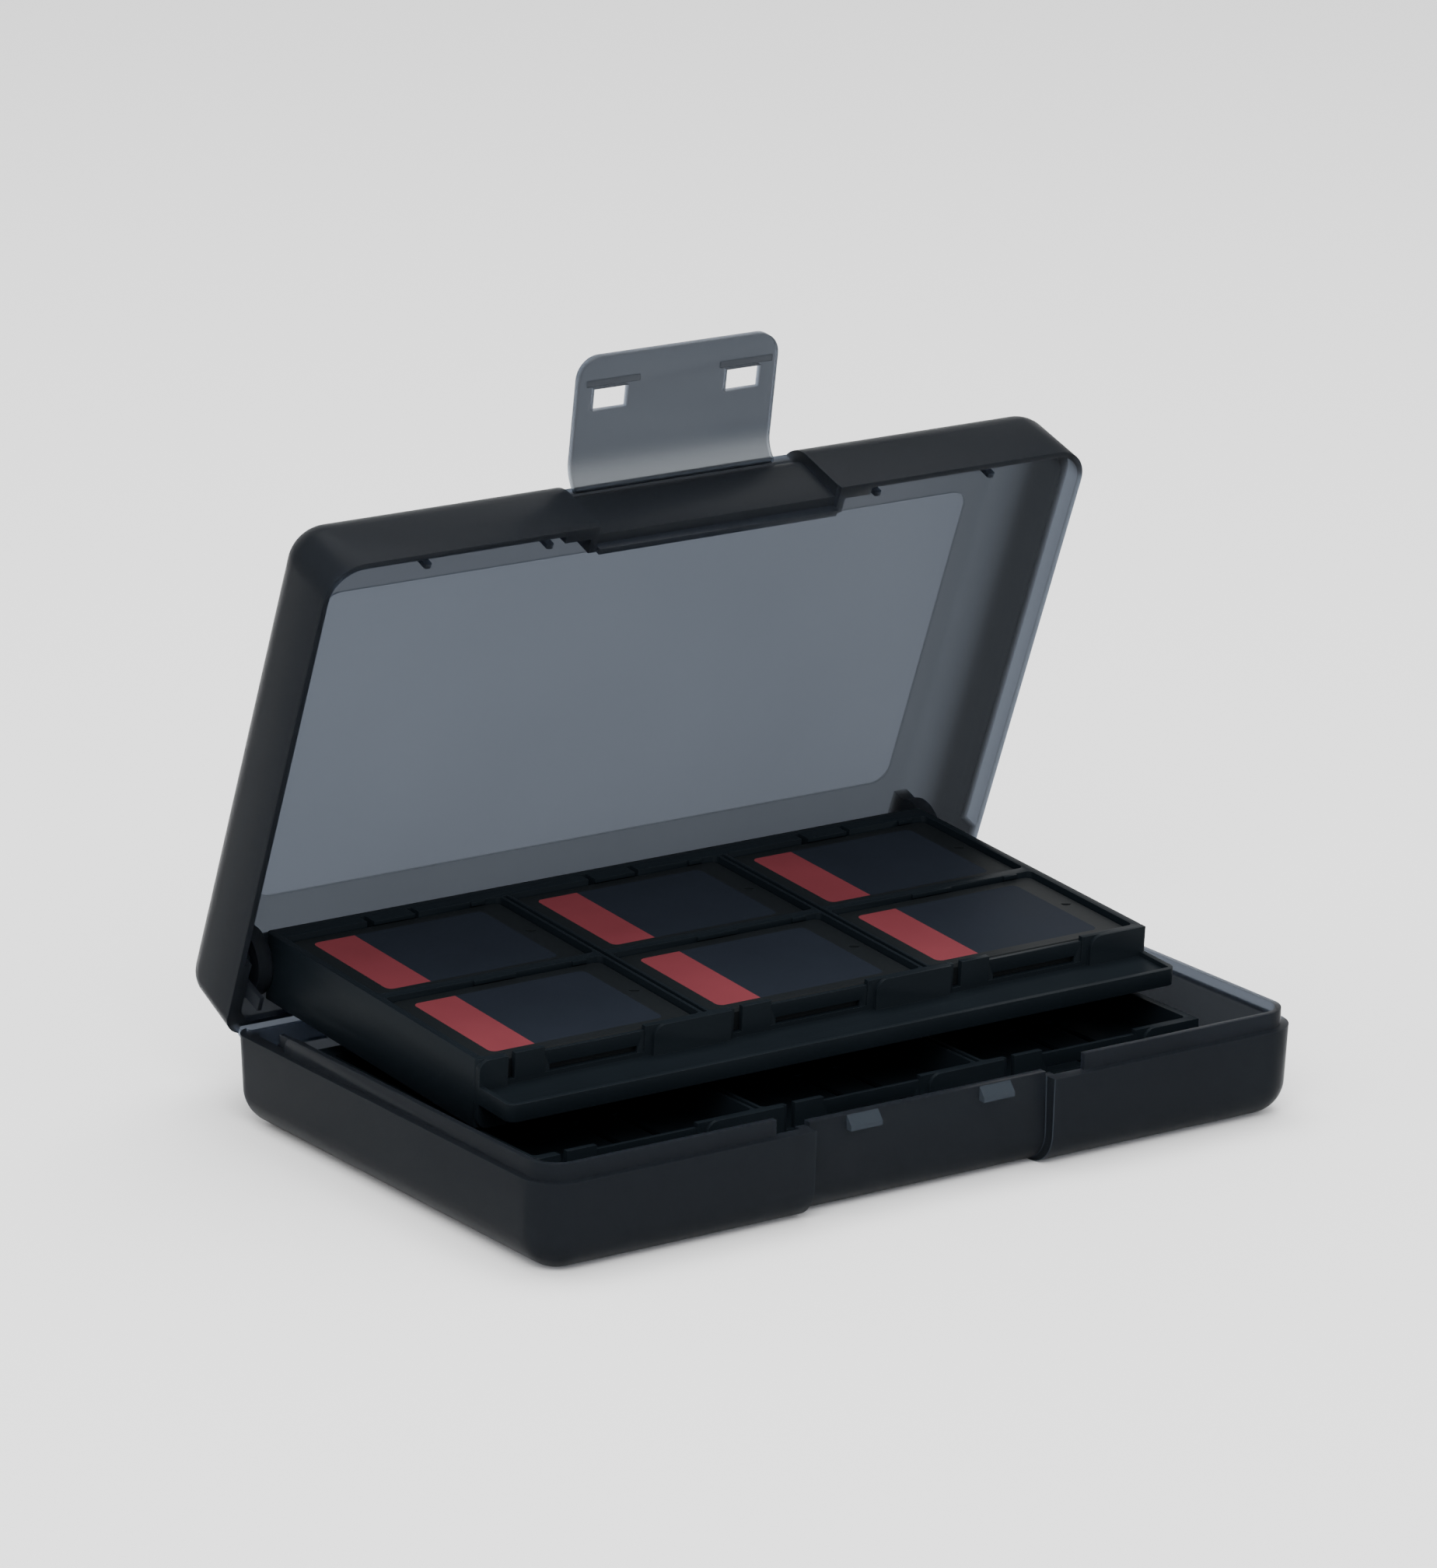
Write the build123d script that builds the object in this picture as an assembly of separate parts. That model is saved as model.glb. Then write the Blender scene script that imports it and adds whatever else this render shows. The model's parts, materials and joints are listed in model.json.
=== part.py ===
from build123d import *
import os
from math import cos, radians, sin

# Game cartridge case: a shallow base, a lid on a hinge strip, a clasp flap on the lid,
# and two trays, one carried by the base and one by the lid.
# Millimetres. X runs along the hinge, -Y is the clasp side, +Z is up. The origin is in the
# middle of the base's underside. The case stands half open, with the lid leaning forward.

# Game cards
card_width = 31.1
card_depth = 21.4
card_thickness = 3.3
card_corner_radius = 1.3
card_edge_chamfer = 0.35
label_width = 24.9
label_depth = 17.6
label_thickness = 0.15
label_left_margin = 2.5
label_corner_radius = 0.9
strip_width = 6.15
arrow_size = 1.3
arrow_depth = 0.12
arrow_margin = 1.9

# Trays
card_side_clearance = 0.2
card_end_clearance = 0.1
column_divider = 1.5
row_divider = 1.4
tray_side_wall = 1.05
tray_front_wall = 0.8
tray_rear_land = 2.9
tray_web = 0.9
wall_over_card = 0.6
pocket_corner_radius = 0.7
tray_corner_radius = 0.8
shelf_depth = 7.25
shelf_thickness = 2.2
shelf_corner_radius = 1.2
shelf_rim_width = 0.7
shelf_sink = 0.6
notch_width = 14.5
notch_set_back = 0.25
finger_slot_width = 12.6
finger_slot_height = 0.85
slot_width = 1.3
slot_offset = 12.1
brow_start = 8.3
brow_end = 19.6
brow_proud = 0.5
brow_corner_radius = 1.6
nub_width = 2.0
nub_offset = 12.4
clip_width = 6.0
nub_overhang = 0.3
nub_clearance = 0.1
channel_width = 0.6
channel_depth = 1.3
spring_slot_width = 1.2
spring_slot_length = 15.0
spring_slot_inset = 2.2
spring_slot_offsets = (1.6, 7.4)
land_slot_width = 0.8
land_slot_spacing = 3.4
land_slot_depth = 1.9

# Tray pivots
pivot_setback = 2.05
lug_radius = 3.0
lug_width = 3.0
pin_radius = 2.6
pin_length = 3.6
pin_chamfer = 0.4
pivot_clearance = 0.08
arm_gap = 0.3
arm_thickness = 2.0
ear_radius = 5.0
arm_radius = 4.5
arm_reach = 3.4

# Shells
wall = 1.8
plate = 1.2
draft = 2.0
front_corner_radius = 5.0
rear_corner_radius = 3.0
cavity_rear_radius = 2.4
edge_radius = 4.5
side_space = 4.9
front_space = 4.2
pivot_inset = 6.4
rest_rib_height = 0.3
rest_rib_width = 1.0
rim_over_tray = 1.4
upper_pivot_over_rim = 5.9
upper_tray_headroom = 0.65
rim_gap = 0.2
lip_height = 2.1
lip_inset = 1.0
lip_clearance = 0.2
lip_gap_half_width = 22.9
lip_rear = 24.0
lip_end_radius = 1.5
panel_half_width = 48.3
panel_front_inset = 12.4
panel_rear_inset = 11.7
panel_depth = 0.3
panel_corner_radius = 2.5
front_rib_inner = 24.4
front_rib_outer = 41.9
front_rib_width = 1.0
front_rib_proud = 0.8
front_rib_gap = 0.2
front_rib_foot = 0.4
front_rib_radius = 0.4

# Guide lugs beside the trays' pivots
guide_thickness = 0.6
guide_gap = 0.25
lid_guide_inset = 5.7
lid_guide_width = 1.9
lid_guide_drop = 2.85
base_guide_inset = 8.1
base_guide_width = 2.5
base_guide_rise = 1.4
guide_root = 3.0

# Clasp
recess_half_width = 17.7
recess_set_back = 1.7
recess_side_wall = 1.2
centre_wall = 1.1
centre_wall_rise = 0.6
centre_clearance = 0.15
centre_lip_gap = 0.25
centre_lip_thickness = 0.8
centre_lip_drop = 0.6
flap_half_width = 14.75
flap_thickness = 1.05
flap_gap = 0.35
flap_straight = 13.6
flap_corner_radius = 3.0
flap_root_angle = 50.0
flap_bead_radius = 0.5
bead_clearance = 0.08
flap_slot_reach = 0.85
window_spacing = 9.85
window_width = 5.2
window_top_drop = 6.5
window_height = 2.9
catch_clearance = 0.3
catch_proud = 1.0
catch_height = 1.8
flap_rib_width = 7.8
flap_rib_height = 0.8
flap_rib_proud = 0.25
flap_rib_drop = 0.5

# Hinge strip
hinge_inset = 0.55
strip_thickness = 1.0
strip_lower_drop = 2.55
strip_height = 4.1
strip_end_inset = 2.3
strip_pocket_gap = 0.1

# The way the case stands
strip_rest_angle = 57.0
lid_rest_fold = 11.8
tray_rest_tilt = 3.9
flap_rest_angle = 102.8

# Sizes that follow from these
pocket_width = card_width + 2 * card_side_clearance
pocket_depth = card_depth + 2 * card_end_clearance
column_pitch = pocket_width + column_divider
row_pitch = pocket_depth + row_divider
card_seat = tray_web / 2
tray_half_height = card_seat + card_thickness + wall_over_card
tray_half_width = column_pitch + pocket_width / 2 + tray_side_wall
block_depth = tray_front_wall + pocket_depth + row_pitch + tray_rear_land
block_rear = -pivot_setback
block_front = block_rear - block_depth
shelf_front = block_front - shelf_depth
pockets_centre = block_front + tray_front_wall + pocket_depth / 2 + row_pitch / 2
column_centres = (-column_pitch, 0.0, column_pitch)

cavity_half_width = tray_half_width + side_space
shell_width = 2 * (cavity_half_width + wall)
shell_depth = wall + front_space - shelf_front + pivot_inset
half_depth = shell_depth / 2
front_face = -half_depth
pivot_y = half_depth - pivot_inset
lower_pivot_z = plate + rest_rib_height + tray_half_height
base_height = lower_pivot_z + tray_half_height + rim_over_tray
lid_plane = base_height + rim_gap
lid_height = upper_pivot_over_rim + tray_half_height + upper_tray_headroom + plate
upper_pivot_z = lid_plane + upper_pivot_over_rim
lid_top = lid_plane + lid_height
arm_inner = tray_half_width + arm_gap
arm_outer = arm_inner + arm_thickness

recess_face = front_face + recess_set_back
base_centre_inner = recess_face + centre_wall
centre_lip_outer = base_centre_inner + centre_lip_gap
lid_centre_inner = centre_lip_outer + centre_lip_thickness
flap_inner = recess_face - flap_gap
flap_curve_y = flap_inner - flap_thickness + edge_radius
flap_curve_z = lid_top - edge_radius
root_radius = edge_radius - flap_bead_radius
root_y = flap_curve_y - root_radius * cos(radians(flap_root_angle))
root_z = flap_curve_z + root_radius * sin(radians(flap_root_angle))
window_top = flap_curve_z - window_top_drop
window_bottom = window_top - window_height
catch_bottom = window_bottom + catch_clearance

hinge_y = half_depth - hinge_inset
lower_film_z = base_height - strip_lower_drop
upper_film_z = lower_film_z + strip_height
strip_front = hinge_y - strip_thickness / 2
strip_half_length = shell_width / 2 - strip_end_inset

# Room that a cut takes past the faces it opens
over = 1.0


def block(x_low, x_high, y_low, y_high, z_low, z_high):
    """Box between two corners."""
    box = Box(x_high - x_low, y_high - y_low, z_high - z_low)
    return Pos((x_low + x_high) / 2, (y_low + y_high) / 2, (z_low + z_high) / 2) * box


def sides(shape):
    """A shape and its mirror image on the other side of the middle plane."""
    return [shape, mirror(shape, about=Plane.YZ)]


def rod(radius, x_low, x_high, y, z):
    """Round bar along X."""
    bar = Cylinder(radius, x_high - x_low, rotation=(0, 90, 0))
    return Pos((x_low + x_high) / 2, y, z) * bar


def along_x(sketch, x_low, x_high):
    """Profile drawn in Y and Z, run along X between two places."""
    run = extrude(Plane.YZ * sketch, amount=x_high - x_low, dir=(1, 0, 0))
    return Pos(x_low, 0, 0) * run


def area(y_low, y_high, z_low, z_high):
    """Rectangle in Y and Z for a profile."""
    middle = Pos((y_low + y_high) / 2, (z_low + z_high) / 2)
    return middle * Rectangle(y_high - y_low, z_high - z_low)


def round_corner(profile, y, z, radius):
    """Profile with its corner nearest to a place rounded."""
    return fillet(profile.vertices().sort_by_distance((y, z, 0))[:1], radius)


def rising_edges(shape, y_low, y_high, rise):
    """Edges between two places in Y that climb more than a given height."""
    return [edge for edge in shape.edges()
            if edge.bounding_box().size.Z > rise and y_low < edge.center().Y < y_high]


def drafted_block(inset, height, rear_radius, edge):
    """Block below the rim plane, drawn in by the inset and narrowing as it goes down.

    The rear corners are tighter than the foot's rounding, so they are rounded last.
    """
    outline = Rectangle(shell_width - 2 * inset, shell_depth - 2 * inset)
    body = extrude(outline, amount=-height, taper=draft)
    body = fillet(rising_edges(body, -shell_depth, 0, height / 2), front_corner_radius - inset)
    body = fillet(body.faces().sort_by(Axis.Z)[0].edges(), edge)
    return fillet(rising_edges(body, 0, shell_depth, edge / 2), rear_radius)


def rim_outline(inset):
    """Closed outline parallel to the shell's rim."""
    outline = Rectangle(shell_width - 2 * inset, shell_depth - 2 * inset)
    outline = fillet(outline.vertices().sort_by(Axis.Y)[:2], front_corner_radius - inset)
    return fillet(outline.vertices().sort_by(Axis.Y)[-2:], cavity_rear_radius)


def tub(height, centre_face, centre_inner):
    """Open shell hanging below its rim plane, its wall stepped back in the middle of the front."""
    outer = drafted_block(0, height, rear_corner_radius, edge_radius)
    cavity = drafted_block(wall, height - plate, cavity_rear_radius, edge_radius - plate)
    inner = area(centre_inner, over, plate - height, over)
    inner = round_corner(inner, centre_inner, plate - height, edge_radius - plate)
    pad_half = recess_half_width + recess_side_wall
    pad = block(-pad_half, pad_half, front_face - over, 0, -height - over, over)
    pad -= along_x(inner, -pad_half - over, pad_half + over)
    return outer - (cavity - pad)


def base_shell():
    """Base with its rim lip, centre wall, catches, hinge pocket, ears and rest ribs."""
    body = Pos(0, 0, base_height) * tub(base_height, recess_face, base_centre_inner)
    # Clasp recess, with the same rounded foot as the front face
    behind = area(recess_face, 0, 0, base_height + over)
    behind = round_corner(behind, recess_face, 0, edge_radius)
    recess = block(-recess_half_width, recess_half_width, front_face - over, -over,
                   -over, base_height + over)
    body -= recess - along_x(behind, -shell_width / 2, shell_width / 2)
    body += block(-recess_half_width + centre_clearance, recess_half_width - centre_clearance,
                  recess_face, base_centre_inner, plate + edge_radius,
                  base_height + centre_wall_rise)
    for catch in catches():
        body += catch
    body += rim_lip()
    body -= hinge_pocket(lower_film_z, base_height + over)
    for ear in base_ears():
        body += ear
    for rib_x in (-column_pitch / 2, column_pitch / 2):
        body += block(rib_x - rest_rib_width / 2, rib_x + rest_rib_width / 2,
                      pivot_y + block_front + over, pivot_y + block_rear - over,
                      plate - over / 2, plate + rest_rib_height)
    for guide in base_guides():
        body += guide
    return body


def catches():
    """Two wedges on the centre wall, with a flat underside that the flap's windows hook."""
    half = window_width / 2 - catch_clearance
    profile = Polygon((recess_face + centre_wall / 2, catch_bottom),
                      (recess_face - catch_proud, catch_bottom),
                      (recess_face - catch_proud, catch_bottom + catch_height / 3),
                      (recess_face, catch_bottom + catch_height),
                      (recess_face + centre_wall / 2, catch_bottom + catch_height), align=None)
    wedge = along_x(profile, window_spacing - half, window_spacing + half)
    return sides(wedge)


def rim_lip():
    """Raised lip round the base's rim, open at the clasp and ending short of the hinge."""
    ring = rim_outline(lip_inset) - rim_outline(wall)
    lip = extrude(Pos(0, 0, base_height - over / 2) * ring, amount=lip_height + over / 2)
    kept = area(front_face - over, lip_rear, base_height - over, base_height + lip_height)
    kept = round_corner(kept, lip_rear, base_height + lip_height, lip_end_radius)
    lip &= along_x(kept, -shell_width, shell_width)
    lip -= block(-lip_gap_half_width, lip_gap_half_width, front_face - over, 0,
                 base_height - over, base_height + lip_height + over)
    return lip


def hinge_pocket(film_z, far_z):
    """Room for one half of the hinge strip in the rear wall, with a groove for its bead."""
    half = strip_half_length + strip_pocket_gap
    z_low, z_high = sorted((film_z, far_z))
    pocket = block(-half, half, strip_front - strip_pocket_gap, half_depth + over, z_low, z_high)
    return pocket + rod(strip_thickness / 2 + bead_clearance, -half, half, hinge_y, film_z)


def base_ears():
    """Bored ears that stand on the floor and carry the lower tray's pins."""
    foot = area(pivot_y - ear_radius, pivot_y + ear_radius, plate / 2, lower_pivot_z)
    foot = round_corner(foot, pivot_y + ear_radius, plate / 2, edge_radius - plate)
    profile = Pos(pivot_y, lower_pivot_z) * Circle(ear_radius) + foot
    ear = along_x(profile, arm_inner, arm_outer)
    ear -= rod(pin_radius + pivot_clearance, arm_inner - over, arm_outer + over,
               pivot_y, lower_pivot_z)
    ear &= block(0, shell_width, 0, half_depth - wall / 2, 0, base_height + lip_height)
    return sides(ear)


def base_guides():
    """Small upright lugs on the base's side walls, just ahead of the ears."""
    front = half_depth - base_guide_inset - base_guide_width
    rear = half_depth - base_guide_inset
    inner = cavity_half_width - guide_gap - guide_thickness
    lug = block(inner, inner + guide_thickness, front, rear,
                base_height - guide_root, base_height + base_guide_rise)
    lug += block(inner, cavity_half_width + wall / 2, front, rear,
                 base_height - guide_root, base_height - over / 4)
    return sides(lug)


def lid_shell():
    """Lid in its closed place, with rebate, clasp recess, hinge pocket, arms and panel."""
    body = mirror(tub(lid_height, recess_face, lid_centre_inner), about=Plane.XY)
    body = Pos(0, 0, lid_plane) * body
    body -= rebate()
    body -= clasp_recess()
    centre = recess_half_width + centre_clearance
    body -= block(-centre, centre, front_face - over, centre_lip_outer,
                  lid_plane - over, base_height + centre_wall_rise + lip_clearance)
    body += block(-recess_half_width, recess_half_width, centre_lip_outer, lid_centre_inner,
                  lid_plane - centre_lip_drop, lid_plane + over)
    body -= hinge_pocket(upper_film_z, lid_plane - over)
    for arm in lid_arms():
        body += arm
    for rib in lid_front_ribs():
        body += rib
    for guide in lid_guides():
        body += guide
    panel_y = (panel_front_inset - panel_rear_inset) / 2
    panel = RectangleRounded(2 * panel_half_width,
                             shell_depth - panel_front_inset - panel_rear_inset,
                             panel_corner_radius)
    ceiling = lid_top - plate
    body -= extrude(Pos(0, panel_y, ceiling - over / 4) * panel, amount=panel_depth + over / 4)
    return body


def rebate():
    """Step inside the lid's rim that takes the base's lip."""
    room = extrude(Pos(0, 0, lid_plane - over) * rim_outline(lip_inset - lip_clearance),
                   amount=lip_height + over)
    half = lip_gap_half_width - lip_clearance
    room -= block(-half, half, front_face - over, 0, lid_plane - 2 * over, lid_top)
    rear = lip_rear + lip_clearance
    return room - block(-shell_width, shell_width, rear, shell_depth, lid_plane - 2 * over, lid_top)


def clasp_recess():
    """Recess in the lid's front for the closed flap, with the groove for the flap's root."""
    angle = radians(flap_root_angle)
    reach = 2 * edge_radius
    curve = (flap_curve_y, flap_curve_z)
    up = (flap_curve_y - reach * cos(angle), flap_curve_z + reach * sin(angle))
    outside = front_face - reach
    low = lid_plane - over
    swept = Polygon(curve, up, (outside, up[1]), (outside, low), (flap_curve_y, low), align=None)
    swept -= Pos(*curve) * Circle(flap_curve_y - recess_face)
    swept -= area(recess_face, flap_curve_y + over, low - over, flap_curve_z)
    cut = along_x(swept, -recess_half_width, recess_half_width)
    groove_radius = flap_bead_radius + bead_clearance
    slot = Box(2 * recess_half_width, groove_radius + flap_slot_reach, reach / 2)
    slot = Pos(0, (flap_slot_reach - groove_radius) / 2, reach / 4) * slot
    slot = Pos(0, root_y, root_z) * (Rot(90 - flap_root_angle, 0, 0) * slot)
    cut += slot
    cut += rod(groove_radius, -recess_half_width, recess_half_width, root_y, root_z)
    return cut


def lid_arms():
    """Bored arms that hang from the lid's plate and carry the upper tray's pins."""
    root = area(pivot_y - arm_reach, pivot_y + arm_radius, upper_pivot_z, lid_top - plate / 2)
    root = round_corner(root, pivot_y + arm_radius, lid_top - plate / 2, edge_radius - plate)
    profile = Pos(pivot_y, upper_pivot_z) * Circle(arm_radius) + root
    arm = along_x(profile, arm_inner, arm_outer)
    arm -= rod(pin_radius + pivot_clearance, arm_inner - over, arm_outer + over,
               pivot_y, upper_pivot_z)
    arm &= block(0, shell_width, 0, half_depth - wall / 2, 0, lid_top)
    return sides(arm)


def lid_front_ribs():
    """Short upright ribs inside the lid's front wall, whose feet reach in behind the base's lip."""
    ribs = []
    skin = front_face + wall
    inside = skin + front_rib_proud
    step = lid_plane + lip_height + lip_clearance
    for rib_x in (front_rib_inner, front_rib_outer):
        low, high = rib_x - front_rib_width / 2, rib_x + front_rib_width / 2
        foot = block(low, high, skin + front_rib_gap, inside, lid_plane + front_rib_foot, step + over)
        foot = fillet(foot.edges().filter_by(Axis.Y).sort_by(Axis.Z)[:2], front_rib_radius)
        ribs += sides(foot + block(low, high, skin - wall / 4, inside, step, lid_top - edge_radius))
    return ribs


def lid_guides():
    """Small lugs on the lid's side walls that reach down into the base beside the ears."""
    front = half_depth - lid_guide_inset - lid_guide_width
    rear = half_depth - lid_guide_inset
    inner = cavity_half_width - guide_gap - guide_thickness
    lug = block(inner, inner + guide_thickness, front, rear,
                lid_plane - lid_guide_drop, lid_plane + guide_root)
    lug += block(inner, cavity_half_width + wall / 2, front, rear,
                 lid_plane + over / 4, lid_plane + guide_root)
    return sides(lug)


def hinge_strip():
    """Strip of the rear wall between two film lines, with a bead along each."""
    profile = area(strip_front, strip_front + strip_thickness, lower_film_z, upper_film_z)
    for film_z in (lower_film_z, upper_film_z):
        profile += Pos(hinge_y, film_z) * Circle(strip_thickness / 2)
    return along_x(profile, -strip_half_length, strip_half_length)


def clasp_flap():
    """Curved clasp flap in its closed place, with a root bead, two windows and two grip ribs."""
    curve = Pos(flap_curve_y, flap_curve_z)
    ring = curve * (Circle(edge_radius) - Circle(edge_radius - flap_thickness))
    angle = radians(flap_root_angle)
    reach = 2 * edge_radius
    up = (flap_curve_y - reach * cos(angle), flap_curve_z + reach * sin(angle))
    sector = Polygon((flap_curve_y, flap_curve_z), up, (flap_curve_y - reach, up[1]),
                     (flap_curve_y - reach, flap_curve_z), align=None)
    foot = flap_curve_z - flap_straight
    profile = ring & sector
    profile += area(flap_inner - flap_thickness, flap_inner, foot, flap_curve_z)
    profile += Pos(root_y, root_z) * Circle(flap_bead_radius)
    flap = along_x(profile, -flap_half_width, flap_half_width)
    corners = flap.edges().filter_by(Axis.Y).filter_by(lambda e: e.center().Z < foot + over)
    flap = fillet(corners, flap_corner_radius)
    rib_top = window_bottom - flap_rib_drop
    window = block(window_spacing - window_width / 2, window_spacing + window_width / 2,
                   flap_inner - flap_thickness - over, flap_inner + over,
                   window_bottom, window_top)
    rib = block(window_spacing - flap_rib_width / 2, window_spacing + flap_rib_width / 2,
                flap_inner - flap_thickness / 2, flap_inner + flap_rib_proud,
                rib_top - flap_rib_height, rib_top)
    for cut in sides(window):
        flap -= cut
    for raised in sides(rib):
        flap += raised
    return flap


def both_faces(shape):
    """A feature of the tray's upper face and the same one underneath."""
    return [shape, mirror(shape, about=Plane.XY)]


def tray():
    """Double-sided tray about its pivot line: six pockets on each face, shelf, lugs and pins."""
    body = block(-tray_half_width, tray_half_width, block_front, block_rear,
                 -tray_half_height, tray_half_height)
    body = fillet(body.edges().filter_by(Axis.Z), tray_corner_radius)
    shelf = block(-tray_half_width, tray_half_width, shelf_front, block_front + over,
                  -shelf_thickness / 2, shelf_thickness / 2)
    shelf_corners = shelf.edges().filter_by(Axis.Z).sort_by(Axis.Y)[:2]
    body += fillet(shelf_corners, shelf_corner_radius)
    sunk = block(shelf_rim_width - tray_half_width, tray_half_width - shelf_rim_width,
                 shelf_front + shelf_rim_width, block_front,
                 shelf_thickness / 2 - shelf_sink, shelf_thickness / 2 + over)
    for sink in both_faces(sunk):
        body -= sink
    for brow in brows():
        for raised in both_faces(brow):
            body += raised
    cuts = []
    room = RectangleRounded(pocket_width, pocket_depth, pocket_corner_radius)
    for x in column_centres:
        for y in (pockets_centre - row_pitch / 2, pockets_centre + row_pitch / 2):
            pocket = extrude(Pos(x, y, card_seat) * room, amount=tray_half_height)
            cuts += both_faces(pocket)
            cuts += spring_slots(x, y)
        cuts += front_recess(x)
        slot_x = x - slot_offset
        cuts += both_faces(block(slot_x - slot_width / 2, slot_x + slot_width / 2,
                                 block_front - over, block_front + tray_front_wall + over / 4,
                                 shelf_thickness / 2, tray_half_height + over))
        cuts += land_slots(x)
    for x in (-column_pitch / 2, column_pitch / 2):
        groove = block(x - channel_width / 2, x + channel_width / 2,
                       block_front + tray_front_wall, block_rear - tray_rear_land,
                       tray_half_height - channel_depth, tray_half_height + over)
        cuts += both_faces(groove)
    body -= cuts
    for nub in nubs():
        body += nub
    for end in tray_ends():
        body += end
    return body


def front_recess(x):
    """Set-back stretch of the front wall at one pocket, level with the card, with a finger slot."""
    front = block_front - over
    behind = block_front + tray_front_wall + over / 4
    foot = shelf_thickness / 2
    half = notch_width / 2
    face = block(x - half, x + half, front, block_front + notch_set_back,
                 foot, tray_half_height + over)
    rim = block(x - half, x + half, front, behind,
                card_seat + card_thickness, tray_half_height + over)
    half = finger_slot_width / 2
    slot = block(x - half, x + half, front, behind, foot, foot + finger_slot_height)
    return both_faces(face) + both_faces(rim) + both_faces(slot)


def brows():
    """Proud lengths of the tray's front wall, each with one rounded upper corner."""
    lengths = [(-tray_half_width, -column_pitch - slot_offset - slot_width / 2)]
    for x in column_centres:
        lengths.append((x + brow_start, min(x + brow_end, tray_half_width)))
    shapes = []
    for low, high in lengths:
        shape = block(low, high, block_front - brow_proud, block_front + tray_front_wall / 2,
                      0, tray_half_height)
        top = shape.edges().filter_by(Axis.Y).sort_by(Axis.Z)[-2:]
        first = top.sort_by(Axis.X)[:1]
        shapes.append(fillet(first, min(brow_corner_radius, (high - low) / 3)))
    return shapes


def spring_slots(x, y):
    """Pair of narrow slots through the web of one pocket, on each side of a springy tongue."""
    front = y - pocket_depth / 2 + spring_slot_inset
    return [block(x + offset - spring_slot_width / 2, x + offset + spring_slot_width / 2,
                  front, front + spring_slot_length, -tray_web, tray_web)
            for offset in spring_slot_offsets]


def land_slots(x):
    """Short slots in the rear land that set off a clip for the pocket ahead of it."""
    front = block_rear - tray_rear_land
    slots = []
    for side in (-1, 1):
        middle = x + side * land_slot_spacing
        slots += both_faces(block(middle - land_slot_width / 2, middle + land_slot_width / 2,
                                  front - over / 4, front + land_slot_depth,
                                  card_seat, tray_half_height + over))
    return slots


def nubs():
    """Small overhangs above the cards: a wide clip and a nub on each pocket's long walls."""
    low = card_seat + card_thickness + nub_clearance
    shapes = []
    for x in column_centres:
        for y in (pockets_centre - row_pitch / 2, pockets_centre + row_pitch / 2):
            rear = y + pocket_depth / 2
            for middle, width in ((x, clip_width), (x + nub_offset, nub_width)):
                nub = block(middle - width / 2, middle + width / 2,
                            rear - nub_overhang - card_end_clearance, rear + row_divider / 2,
                            low, tray_half_height)
                shapes += both_faces(nub)
    return shapes


def tray_ends():
    """Lugs at the tray's rear corners, each with a pivot pin that stands out sideways."""
    profile = Circle(lug_radius)
    profile += area(block_rear - over, 0, -lug_radius, lug_radius)
    lug = along_x(profile, tray_half_width - lug_width, tray_half_width)
    pin = rod(pin_radius, tray_half_width - lug_width / 2, tray_half_width + pin_length, 0, 0)
    end = pin.faces().sort_by(Axis.X)[-1].edges()
    return sides(lug + chamfer(end, pin_chamfer))


def card():
    """Card lying on its back, its contacts' end to the right, with a shallow label recess."""
    outline = RectangleRounded(card_width, card_depth, card_corner_radius)
    body = extrude(outline, amount=card_thickness)
    body = chamfer(body.faces().sort_by(Axis.Z)[-1].edges(), card_edge_chamfer)
    body -= label_area(0)
    arrow_x = card_width / 2 - arrow_margin
    arrow = Polygon((arrow_x - arrow_size / 2, -arrow_size / 2),
                    (arrow_x + arrow_size / 2, 0),
                    (arrow_x - arrow_size / 2, arrow_size / 2), align=None)
    return body - extrude(Pos(0, 0, card_thickness - arrow_depth) * arrow, amount=over)


def label_area(side):
    """The label's space: the whole with 0, its left strip with -1, the rest with 1."""
    left = label_left_margin - card_width / 2
    outline = Pos(left + label_width / 2, 0) * RectangleRounded(
        label_width, label_depth, label_corner_radius)
    piece = extrude(Pos(0, 0, card_thickness - label_thickness) * outline, amount=label_thickness)
    seam = left + strip_width
    if side < 0:
        piece &= block(left - over, seam, -card_depth, card_depth, 0, card_thickness + over)
    if side > 0:
        piece &= block(seam, left + label_width + over, -card_depth, card_depth,
                       0, card_thickness + over)
    return piece


def turned(shape, y, z, angle):
    """A shape turned about a line along X."""
    return Pos(0, y, z) * (Rot(angle, 0, 0) * (Pos(0, -y, -z) * shape))


def opened_lid(shape):
    """From the closed lid's place to where the lid stands."""
    folded = turned(shape, hinge_y, upper_film_z, -lid_rest_fold)
    return turned(folded, hinge_y, lower_film_z, -strip_rest_angle)


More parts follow.
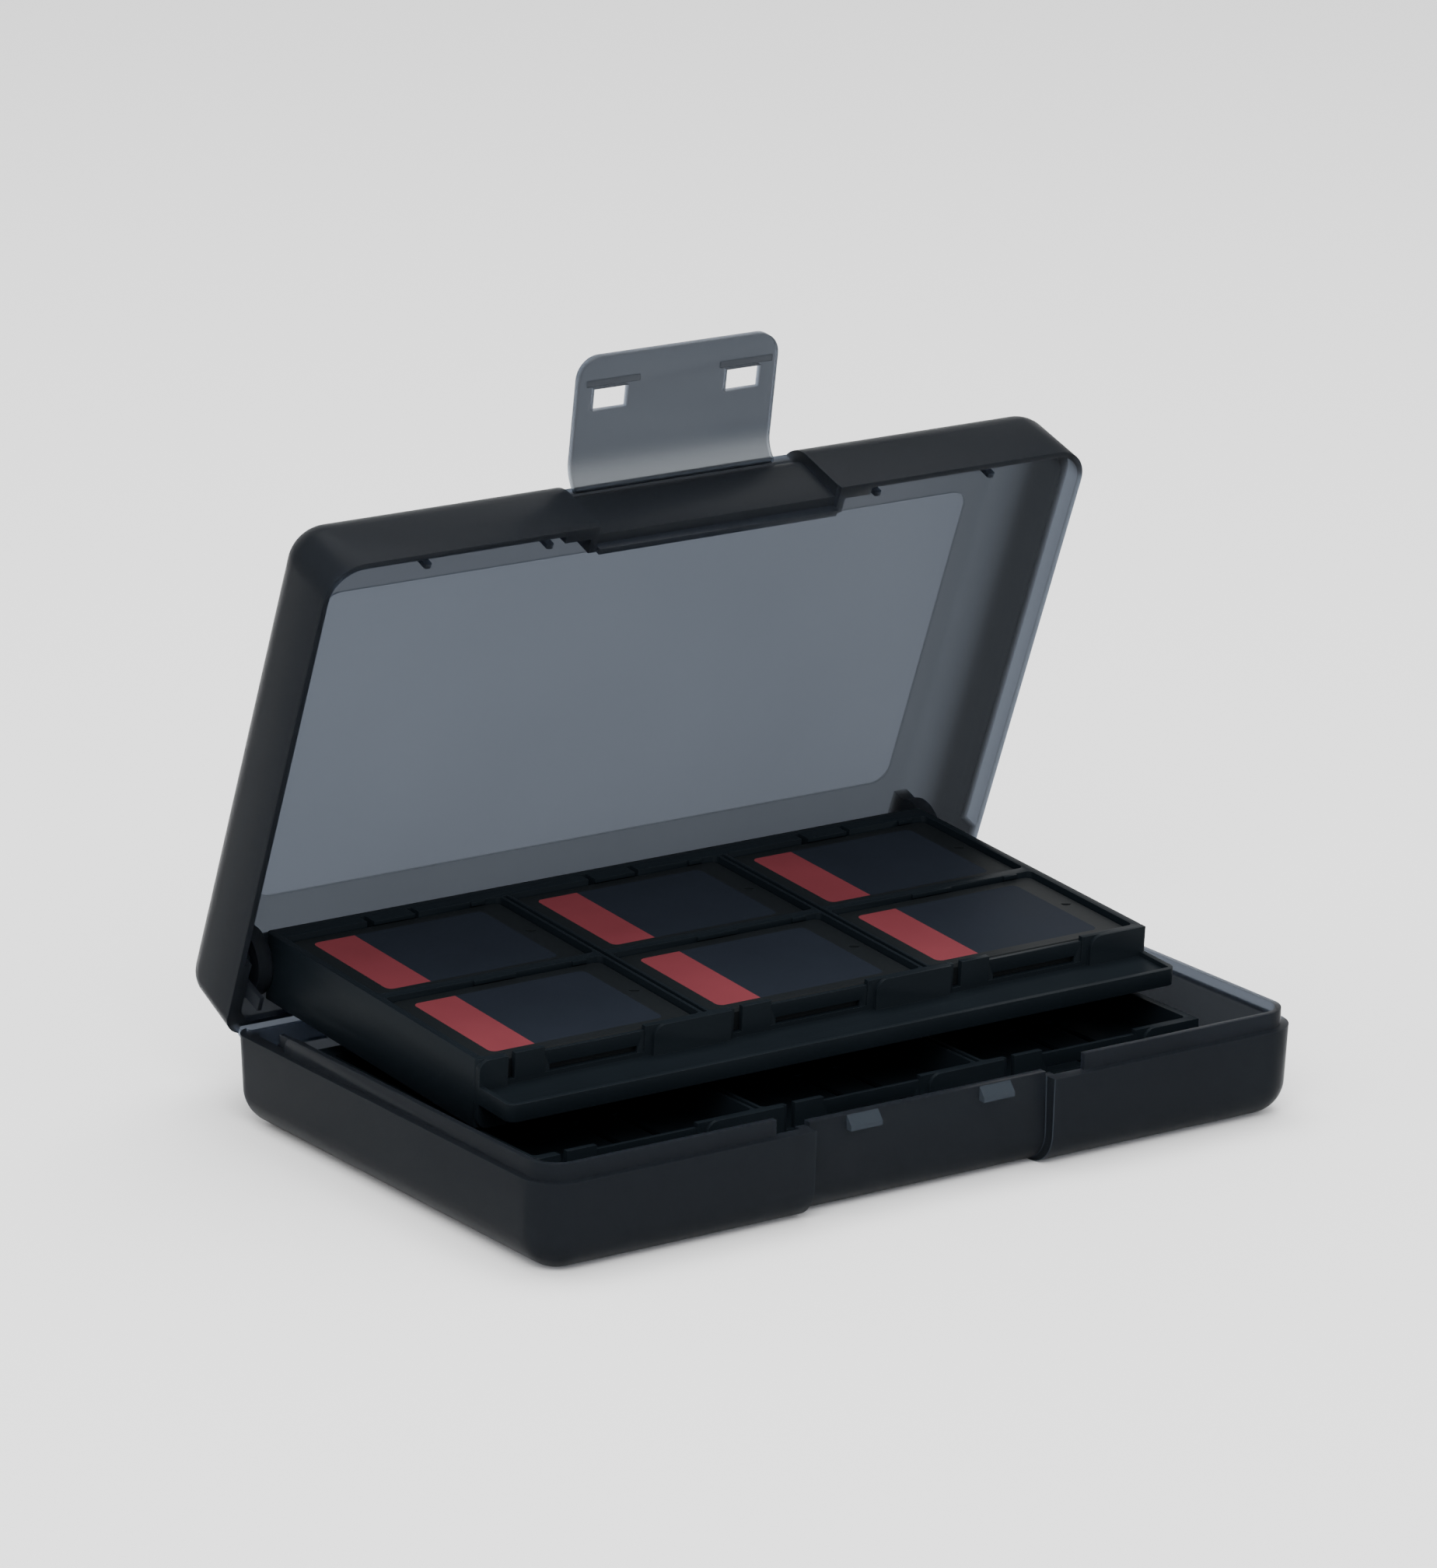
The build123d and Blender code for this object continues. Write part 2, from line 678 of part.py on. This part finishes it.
def build():
    """Every node in the place where it stands."""
    nodes = {"base_shell": base_shell(), "lid_shell": opened_lid(lid_shell())}
    nodes["hinge_strip"] = turned(hinge_strip(), hinge_y, lower_film_z, -strip_rest_angle)
    flap = turned(clasp_flap(), root_y, root_z, -flap_rest_angle)
    nodes["clasp_flap"] = opened_lid(flap)
    moulding = tray()
    nodes["lower_tray"] = Pos(0, pivot_y, lower_pivot_z) * moulding
    pivot = opened_lid(Pos(0, pivot_y, upper_pivot_z) * Vertex(0, 0, 0)).center()
    seat = Pos(0, pivot.Y, pivot.Z) * Rot(tray_rest_tilt, 0, 0)
    nodes["upper_tray"] = seat * moulding
    rows = (("front", pockets_centre - row_pitch / 2), ("rear", pockets_centre + row_pitch / 2))
    columns = zip(("left", "middle", "right"), column_centres)
    for column, x in columns:
        for row, y in rows:
            place = seat * Pos(x, y, card_seat)
            nodes["card_" + row + "_" + column] = place * card()
            nodes["label_" + row + "_" + column] = place * label_area(1)
            nodes["strip_" + row + "_" + column] = place * label_area(-1)
    return nodes


def main():
    """Write one STEP file for each node."""
    os.makedirs("parts", exist_ok=True)
    for name, shape in build().items():
        export_step(shape, "parts/" + name + ".step")


if __name__ == "__main__":
    main()
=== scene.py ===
import json
import math

import bpy
from mathutils import Matrix, Vector


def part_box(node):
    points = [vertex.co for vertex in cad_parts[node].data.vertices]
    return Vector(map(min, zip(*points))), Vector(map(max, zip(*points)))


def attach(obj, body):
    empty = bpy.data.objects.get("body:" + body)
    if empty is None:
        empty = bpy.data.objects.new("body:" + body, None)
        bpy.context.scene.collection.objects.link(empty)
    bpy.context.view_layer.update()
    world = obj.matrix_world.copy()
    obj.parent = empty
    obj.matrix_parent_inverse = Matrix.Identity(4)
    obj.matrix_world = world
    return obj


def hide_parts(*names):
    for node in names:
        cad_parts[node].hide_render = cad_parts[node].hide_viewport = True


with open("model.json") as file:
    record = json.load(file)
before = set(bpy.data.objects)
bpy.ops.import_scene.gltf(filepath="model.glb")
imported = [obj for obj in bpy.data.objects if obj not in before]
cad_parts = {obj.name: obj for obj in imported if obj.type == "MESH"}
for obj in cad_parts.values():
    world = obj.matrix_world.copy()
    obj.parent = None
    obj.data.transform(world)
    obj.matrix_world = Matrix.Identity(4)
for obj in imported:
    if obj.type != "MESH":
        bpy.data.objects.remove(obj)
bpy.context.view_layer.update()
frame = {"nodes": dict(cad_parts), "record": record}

bl_info = {
    "name": "Game card case",
    "version": (1, 0, 0),
    "blender": (4, 5, 0),
    "location": "View3D > Sidebar > Card case",
    "description": "Dresses a hinged game card case with moulded edges and smoke and black plastics",
    "category": "Object",
}

# One millimetre in scene units
MM = 0.001
BODIES = frame["record"]["behaviour"]["bodies"]
BODY_OF = {node: body for body, nodes in BODIES.items() for node in nodes}

# Half the clasp recess's width, the place of its face on the base, and the open lid's lean from
# upright in degrees
RECESS_HALF = 17.7 * MM
RECESS_FACE = -33.3 * MM
LID_LEAN = 68.8

# Edges within this distance of the recess's ends belong to them
END_REACH = 0.03 * MM
# A face lies square to a direction when the cosine between them is above this
SQUARE = 0.97

# The shortest edge of each shell's step that is rounded wide
BASE_STEP, LID_STEP = 0.3 * MM, 3.0 * MM
# Points of a mesh nearer than this are joined
JOIN_REACH = 0.002 * MM
# In degrees: faces that meet below the first are flat, and edges above the others are rounded
# and shaded sharp
FLAT_ANGLE, ROUND_ANGLE, SHARP_ANGLE = 0.5, 30, 35
# Segments of the rounding on the recess's steps and on the other edges
STEP_SEGMENTS, EDGE_SEGMENTS = 4, 2

# Density of the dye per metre of plastic, in the shells and in the thinner flap
SHELL_DYE, FLAP_DYE = 1500.0, 1900.0
# Roughness and refractive index of the smoke plastic, in the shells and in the flap
SHELL_ROUGHNESS, FLAP_ROUGHNESS = 0.3, 0.25
SHELL_INDEX, FLAP_INDEX = 1.09, 1.14
# Share of the light that the smoke plastic scatters at its faces, rounded edges and flap; the larger
# share on the edges is painted highlight
FACE_HAZE, EDGE_HIGHLIGHT_HAZE, FLAP_HAZE = 0.028, 0.06, 0.015
# Marks per metre of the shells' flow and of the opaque plastics' wear
FLOW_MARKS, WEAR_MARKS = 50.0, 90.0
# Roughness, grains per metre and sheen of the opaque plastics and papers
TRAY_FINISH = (0.42, 2600.0, 0.05)
# The glossier finish of the trays' edges, which carry a painted highlight
EDGE_HIGHLIGHT_FINISH = (0.28, 2600.0, 0.5)
CARD_FINISH = (0.5, 4200.0, 0.1)
PAPER_FINISH = (0.55, 1500.0, 0.03)

# The floor's side and its drop below the case, and the strength of the sky
FLOOR_SIDE, FLOOR_DROP, SKY_STRENGTH = 4.0, 0.02 * MM, 1.35
# The point that the lights aim at, and each light's place, sides and power in metres and watts
LIGHT_AIM = (0, 0, 0.03)
LIGHTS = {
    "key": ((-0.35, -0.45, 0.6), (0.5, 0.35), 5.0),
    "top": ((0.1, 0.15, 0.8), (0.7, 0.5), 6.0),
}

# The camera's place for a frame of 1848 by 2016 pixels: turn, rise and roll in degrees, distance
# and shifts of the aim in metres, and focal length in pixels
CAMERA_TURN, CAMERA_RISE, CAMERA_ROLL = -34.859, 16.4323, 0.7021
CAMERA_DISTANCE, AIM_SIDE, AIM_LIFT = 0.96394, 0.0062132, -0.0412695
FOCAL_PIXELS, FRAME_PIXELS, SENSOR = 10002.74, 2016.0, 36.0


def linear(code):
    """An sRGB hex value as a linear colour with full alpha."""
    values = [int(code[i:i + 2], 16) / 255 for i in (0, 2, 4)]
    return [v / 12.92 if v <= 0.04045 else ((v + 0.055) / 1.055) ** 2.4 for v in values] + [1.0]


def colour(name, description, code):
    """Colour property whose default is an sRGB hex value."""
    return bpy.props.FloatVectorProperty(
        name=name, description=description, subtype="COLOR", size=4, min=0.0, max=1.0,
        default=linear(code))


def size(name, description, millimetres):
    """Length property whose default is given in millimetres."""
    return bpy.props.FloatProperty(
        name=name, description=description, default=millimetres * MM, min=0.0, unit="LENGTH")


class CaseSizes(bpy.types.PropertyGroup):
    """Sizes that the dressing adds to the case."""

    shell_round: size("Shell edge", "Radius on the shells' moulded edges", 0.18)
    step_round: size("Recess step", "Radius where the front walls step back to the clasp", 0.75)
    flap_round: size("Flap edge", "Radius on the clasp flap's edges", 0.15)
    tray_round: size("Tray edge", "Radius on the trays' moulded edges", 0.1)
    # The root band is where a lighter tint is painted for the light that the thin root lets through
    root_painted_light_band: size("Root band", "Height over which the flap's thin root passes more light", 5.5)


class CaseColours(bpy.types.PropertyGroup):
    """Colours of the case's plastics."""

    smoke: colour("Smoke", "Surface tint of the smoke plastic", "8B96A7")
    dye: colour("Dye", "Tint that the smoke plastic takes on with thickness", "918D87")
    # Painted light: a lighter tint at the flap's thin root stands in for the light coming through it
    root: colour("Root", "Surface tint at the flap's thin root", "CBD6E3")
    # Painted highlight: a lighter tint on the shells' rounded edges and on the clasp catches
    rim: colour("Rim", "Surface tint of the shells' rounded edges", "A3B3C6")
    tray: colour("Tray", "Black of the trays", "0F1418")
    # Painted highlight: this lighter black on the trays' rounded edges stands in for the light they
    # catch
    tray_edge_highlight: colour("Tray edge", "Lighter black of the trays' rubbed edges", "1C2024")
    card: colour("Card", "Grey of the bare cards", "101315")
    label: colour("Label", "Dark field of the labels", "191D24")
    band: colour("Band", "Red band of the labels", "632C32")
    floor: colour("Floor", "Pale studio floor", "F6F6F6")


def add_node(tree, kind, links=(), **settings):
    """Add a shader node, set its sockets and properties, and link its inputs."""
    node = tree.nodes.new(kind)
    for key, value in settings.items():
        socket = key.replace("_", " ")
        if socket in node.inputs:
            node.inputs[socket].default_value = value
        else:
            setattr(node, key, value)
    for socket, source in links:
        tree.links.new(source, node.inputs[socket])
    return node


def new_material(name):
    """Empty node material, with its tree and its output node."""
    material = bpy.data.materials.new(name)
    material.use_nodes = True
    tree = material.node_tree
    tree.nodes.clear()
    return material, tree, tree.nodes.new("ShaderNodeOutputMaterial")


def varied(tree, tint, low, high, noise):
    """Colour that wanders between a darker and a lighter value of a tint, following a noise."""
    ramp = add_node(tree, "ShaderNodeValToRGB", [("Fac", noise.outputs["Fac"])])
    for element, factor in zip(ramp.color_ramp.elements, (low, high)):
        element.color = [c * factor for c in tint[:3]] + [1.0]
    return ramp.outputs["Color"]


def clear_plastic(tree, output, tint, roughness, ior, haze, dye, density):
    """Clear moulded plastic whose dye darkens it with thickness."""
    shader = add_node(tree, "ShaderNodeBsdfPrincipled", [("Base Color", tint)],
                      Roughness=roughness, IOR=ior, Transmission_Weight=1.0 - haze)
    depth = add_node(tree, "ShaderNodeVolumeAbsorption", Density=density, Color=dye)
    tree.links.new(shader.outputs["BSDF"], output.inputs["Surface"])
    tree.links.new(depth.outputs["Volume"], output.inputs["Volume"])


def smoke_polycarbonate(colours, name, tint, haze):
    """Injection-moulded smoke polycarbonate: see-through where thin, near black where thick."""
    material, tree, output = new_material(name)
    place = add_node(tree, "ShaderNodeTexCoord")
    # Flow marks of the mould, about 20 mm across, change the tint a little from place to place
    flow = add_node(tree, "ShaderNodeTexNoise", [("Vector", place.outputs["Object"])],
                    Scale=FLOW_MARKS, Detail=1.0, Roughness=0.3)
    clear_plastic(tree, output, varied(tree, tint, 0.96, 1.04, flow), SHELL_ROUGHNESS,
                  SHELL_INDEX, haze, colours.dye, SHELL_DYE)
    return material


def flap_polycarbonate(colours, band):
    """The same smoke plastic in the flap, with a lighter tint painted in a band along its thin, bent
    root for the light it lets through.
    """
    material, tree, output = new_material("smoke_polycarbonate_flap")
    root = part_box("clasp_flap")[0].z
    place = add_node(tree, "ShaderNodeTexCoord")
    parts = add_node(tree, "ShaderNodeSeparateXYZ", [("Vector", place.outputs["Object"])])
    height = add_node(tree, "ShaderNodeMapRange", [("Value", parts.outputs["Z"])],
                      From_Min=root, From_Max=root + band, interpolation_type="SMOOTHSTEP")
    # The ramp paints light into the root band, from the lighter root tint up to the plain smoke
    ramp = add_node(tree, "ShaderNodeValToRGB", [("Fac", height.outputs["Result"])])
    ramp.color_ramp.elements[0].color = colours.root
    ramp.color_ramp.elements[1].color = colours.smoke
    clear_plastic(tree, output, ramp.outputs["Color"], FLAP_ROUGHNESS, FLAP_INDEX, FLAP_HAZE,
                  colours.dye, FLAP_DYE)
    return material


def moulded_plastic(name, tone, roughness, grain, shine):
    """Opaque moulded plastic or coated paper: a fine grain and a soft, uneven, low sheen."""
    material, tree, output = new_material(name)
    place = add_node(tree, "ShaderNodeTexCoord")
    # The grain is drawn coarser than the real texture, which is too fine to show
    fine = add_node(tree, "ShaderNodeTexNoise", [("Vector", place.outputs["Object"])],
                    Scale=grain, Detail=3.0, Roughness=0.6)
    # Handling wear and flow, about 11 mm across, shift the tone and the sheen
    cloud = add_node(tree, "ShaderNodeTexNoise", [("Vector", place.outputs["Object"])],
                     Scale=WEAR_MARKS, Detail=2.0, Roughness=0.5)
    rough = add_node(tree, "ShaderNodeMapRange", [("Value", cloud.outputs["Fac"])],
                     To_Min=roughness - 0.05, To_Max=roughness + 0.07)
    bump = add_node(tree, "ShaderNodeBump", [("Height", fine.outputs["Fac"])],
                    Strength=0.18, Distance=0.04 * MM)
    shader = add_node(tree, "ShaderNodeBsdfPrincipled",
                      [("Normal", bump.outputs["Normal"]), ("Roughness", rough.outputs["Result"]),
                       ("Base Color", varied(tree, tone, 0.85, 1.2, cloud))],
                      IOR=1.4, Specular_IOR_Level=shine)
    tree.links.new(shader.outputs["BSDF"], output.inputs["Surface"])
    return material


def deselect():
    """Clear the selection."""
    for item in bpy.context.selected_objects:
        item.select_set(False)


def mark_steps(mesh, lean, shortest):
    """Weight the edges where the front wall steps back to the clasp recess, to be rounded wide.

    They lie at the recess's two ends and belong to the step's side face. Edges along the rim and
    the underside, whose other face lies across the shell's own upward direction, are left out.
    """
    rise = Vector((0, math.sin(lean), math.cos(lean)))
    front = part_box("hinge_strip")[0].y / 2
    weights = mesh.attributes.new("bevel_weight_edge", "FLOAT", "EDGE")
    normals = {}
    for face in mesh.polygons:
        for key in face.edge_keys:
            normals.setdefault(key, []).append(face.normal)
    for edge in mesh.edges:
        ends = [mesh.vertices[i].co for i in edge.vertices]
        at_end = all(abs(abs(end.x) - RECESS_HALF) < END_REACH and end.y < front for end in ends)
        on_step = any(abs(n.x) > SQUARE for n in normals[edge.key])
        level = any(abs(n.dot(rise)) > SQUARE for n in normals[edge.key])
        if at_end and on_step and not level and (ends[0] - ends[1]).length > shortest:
            weights.data[edge.index].value = 1.0


def bevel(piece, width, segments, limit):
    """Round a piece's sharp or weighted edges."""
    modifier = piece.modifiers.new("edges", "BEVEL")
    modifier.width = width
    modifier.segments = segments
    modifier.limit_method = limit
    modifier.angle_limit = math.radians(ROUND_ANGLE)
    # The rounded faces take the second material: on the shells and trays a lighter copy that paints
    # highlights on the edges
    modifier.material = 1
    bpy.ops.object.modifier_apply(modifier="edges")


def softened(node, name, width, finishes, step=None):
    """Copy of a CAD node's mesh with rounded edges, which take the second finish; on the shells and
    trays that finish is lighter and paints highlights on the edges.

    A step gives the shell's lean, its shortest step edge and the radius on the recess's steps.
    """
    deselect()
    piece = bpy.data.objects.new(name, frame["nodes"][node].data.copy())
    bpy.context.scene.collection.objects.link(piece)
    bpy.context.view_layer.objects.active = piece
    piece.select_set(True)
    piece.data.materials.clear()
    for finish in finishes:
        piece.data.materials.append(finish)
    # Join the loose triangles, then take out the edges inside flat faces
    bpy.ops.object.mode_set(mode="EDIT")
    bpy.ops.mesh.select_all(action="SELECT")
    bpy.ops.mesh.remove_doubles(threshold=JOIN_REACH)
    bpy.ops.mesh.dissolve_limited(angle_limit=math.radians(FLAT_ANGLE))
    bpy.ops.object.mode_set(mode="OBJECT")
    if piece.data.has_custom_normals:
        bpy.ops.mesh.customdata_custom_splitnormals_clear()
    if step:
        lean, shortest, radius = step
        mark_steps(piece.data, lean, shortest)
        bevel(piece, radius, STEP_SEGMENTS, "WEIGHT")
    bevel(piece, width, EDGE_SEGMENTS, "ANGLE")
    bpy.ops.object.shade_smooth_by_angle(angle=math.radians(SHARP_ANGLE))
    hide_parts(node)
    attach(piece, BODY_OF[node])
    return piece


def catches_painted_highlight(base):
    """Give the second finish, the lighter rim copy that paints a highlight, to the catches, which
    stand proud of the clasp recess's face.
    """
    for face in base.data.polygons:
        if abs(face.center.x) < RECESS_HALF - MM and face.center.y < RECESS_FACE - END_REACH:
            face.material_index = 1


def dress(node, finish):
    """Put a finish on a CAD node that keeps its own shape."""
    materials = frame["nodes"][node].data.materials
    materials.clear()
    materials.append(finish)


class CASE_OT_shells(bpy.types.Operator):
    """Smoke shells of the base and the lid, and the hinge strip between them"""

    bl_idname = "case.shells"
    bl_label = "Shells"

    def execute(self, context):
        colours, sizes = context.scene.case_colours, context.scene.case_sizes
        smoke = smoke_polycarbonate(colours, "smoke_polycarbonate", colours.smoke, FACE_HAZE)
        # The rim copy is lighter and hazier, so it paints highlights on the rounded edges and the
        # catches
        rim = smoke_polycarbonate(colours, "smoke_polycarbonate_rim_highlight", colours.rim, EDGE_HIGHLIGHT_HAZE)
        catches_painted_highlight(softened("base_shell", "base", sizes.shell_round, (smoke, rim),
                              (0.0, BASE_STEP, sizes.step_round)))
        softened("lid_shell", "lid", sizes.shell_round, (smoke, rim),
                 (math.radians(LID_LEAN), LID_STEP, sizes.step_round))
        dress("hinge_strip", smoke)
        return {"FINISHED"}


class CASE_OT_clasp(bpy.types.Operator):
    """Clasp flap on its thin root"""

    bl_idname = "case.clasp"
    bl_label = "Clasp"

    def execute(self, context):
        colours, sizes = context.scene.case_colours, context.scene.case_sizes
        flap = flap_polycarbonate(colours, sizes.root_painted_light_band)
        softened("clasp_flap", "flap", sizes.flap_round, (flap, flap))
        return {"FINISHED"}


class CASE_OT_trays(bpy.types.Operator):
    """Black trays with rounded edges in a lighter, glossier black that paints highlights on them"""

    bl_idname = "case.trays"
    bl_label = "Trays"

    def execute(self, context):
        colours, sizes = context.scene.case_colours, context.scene.case_sizes
        black = moulded_plastic("satin_black_abs", colours.tray, *TRAY_FINISH)
        # The edge copy is lighter, a painted highlight along the trays' edges
        edge = moulded_plastic("black_abs_edge_highlight", colours.tray_edge_highlight, *EDGE_HIGHLIGHT_FINISH)
        softened("upper_tray", "tray_over", sizes.tray_round, (black, edge))
        softened("lower_tray", "tray_under", sizes.tray_round, (black, edge))
        return {"FINISHED"}


class CASE_OT_cards(bpy.types.Operator):
    """Game cards and their plain labels"""

    bl_idname = "case.cards"
    bl_label = "Cards"

    def execute(self, context):
        colours = context.scene.case_colours
        finishes = {
            "card": moulded_plastic("grained_card_plastic", colours.card, *CARD_FINISH),
            "label": moulded_plastic("coated_label_paper", colours.label, *PAPER_FINISH),
            "strip": moulded_plastic("coated_red_paper", colours.band, *PAPER_FINISH),
        }
        for node in frame["nodes"]:
            kind = node.split("_")[0]
            if kind in finishes:
                dress(node, finishes[kind])
        return {"FINISHED"}


def area_light(name, place, target, sides, power):
    """Soft rectangular light aimed at a point."""
    lamp = bpy.data.lights.new(name, "AREA")
    lamp.shape = "RECTANGLE"
    lamp.size, lamp.size_y = sides
    lamp.energy = power
    item = bpy.data.objects.new(name, lamp)
    bpy.context.scene.collection.objects.link(item)
    item.location = place
    item.rotation_euler = (Vector(target) - Vector(place)).to_track_quat("-Z", "Y").to_euler()


def place_camera(context):
    """Camera at the photograph's viewing angle."""
    turn, rise, roll = (math.radians(v) for v in (CAMERA_TURN, CAMERA_RISE, CAMERA_ROLL))
    back = Vector((math.sin(turn) * math.cos(rise), -math.cos(turn) * math.cos(rise), math.sin(rise)))
    across = Vector((math.cos(turn), math.sin(turn), 0))
    upward = across.cross(-back)
    right = across * math.cos(roll) + upward * math.sin(roll)
    up = upward * math.cos(roll) - across * math.sin(roll)
    data = bpy.data.cameras.new("camera")
    data.sensor_width = SENSOR
    data.lens = FOCAL_PIXELS * SENSOR / FRAME_PIXELS
    camera = bpy.data.objects.new("camera", data)
    context.scene.collection.objects.link(camera)
    place = back * CAMERA_DISTANCE - right * AIM_SIDE - up * AIM_LIFT
    axes = Matrix((right, up, back)).transposed().to_4x4()
    camera.matrix_world = Matrix.Translation(place) @ axes
    context.scene.camera = camera


class CASE_OT_stage(bpy.types.Operator):
    """Pale floor, soft lights and the camera"""

    bl_idname = "case.stage"
    bl_label = "Stage"

    def execute(self, context):
        deselect()
        bpy.ops.mesh.primitive_plane_add(size=FLOOR_SIDE, location=(0, 0, -FLOOR_DROP))
        floor = context.active_object
        floor.name = "studio_floor"
        material, tree, output = new_material("matt_studio_paper")
        shader = add_node(tree, "ShaderNodeBsdfPrincipled", Roughness=0.9,
                          Base_Color=context.scene.case_colours.floor)
        tree.links.new(shader.outputs["BSDF"], output.inputs["Surface"])
        floor.data.materials.append(material)
        world = bpy.data.worlds.new("studio")
        context.scene.world = world
        world.use_nodes = True
        sky = world.node_tree.nodes["Background"].inputs
        sky["Color"].default_value = (1, 1, 1, 1)
        sky["Strength"].default_value = SKY_STRENGTH
        for name, (place, sides, power) in LIGHTS.items():
            area_light(name, place, LIGHT_AIM, sides, power)
        place_camera(context)
        return {"FINISHED"}


class CASE_PT_panel(bpy.types.Panel):
    """Sidebar panel of the case's pieces"""

    bl_idname = "CASE_PT_panel"
    bl_label = "Card case"
    bl_space_type = "VIEW_3D"
    bl_region_type = "UI"
    bl_category = "Card case"

    def draw(self, context):
        for group in (context.scene.case_sizes, context.scene.case_colours):
            for key in type(group).__annotations__:
                self.layout.prop(group, key)
        for operator in OPERATORS:
            self.layout.operator(operator.bl_idname)


OPERATORS = (CASE_OT_shells, CASE_OT_clasp, CASE_OT_trays, CASE_OT_cards, CASE_OT_stage)
CLASSES = (CaseSizes, CaseColours) + OPERATORS + (CASE_PT_panel,)


def register():
    """Register the classes and hang the settings on the scene."""
    for item in CLASSES:
        bpy.utils.register_class(item)
    bpy.types.Scene.case_sizes = bpy.props.PointerProperty(type=CaseSizes)
    bpy.types.Scene.case_colours = bpy.props.PointerProperty(type=CaseColours)


def unregister():
    """Take the settings and classes away again."""
    del bpy.types.Scene.case_colours
    del bpy.types.Scene.case_sizes
    for item in reversed(CLASSES):
        bpy.utils.unregister_class(item)


def main():
    """Build every piece in order."""
    register()
    bpy.ops.case.shells()
    bpy.ops.case.clasp()
    bpy.ops.case.trays()
    bpy.ops.case.cards()
    bpy.ops.case.stage()


if __name__ == "__main__":
    main()
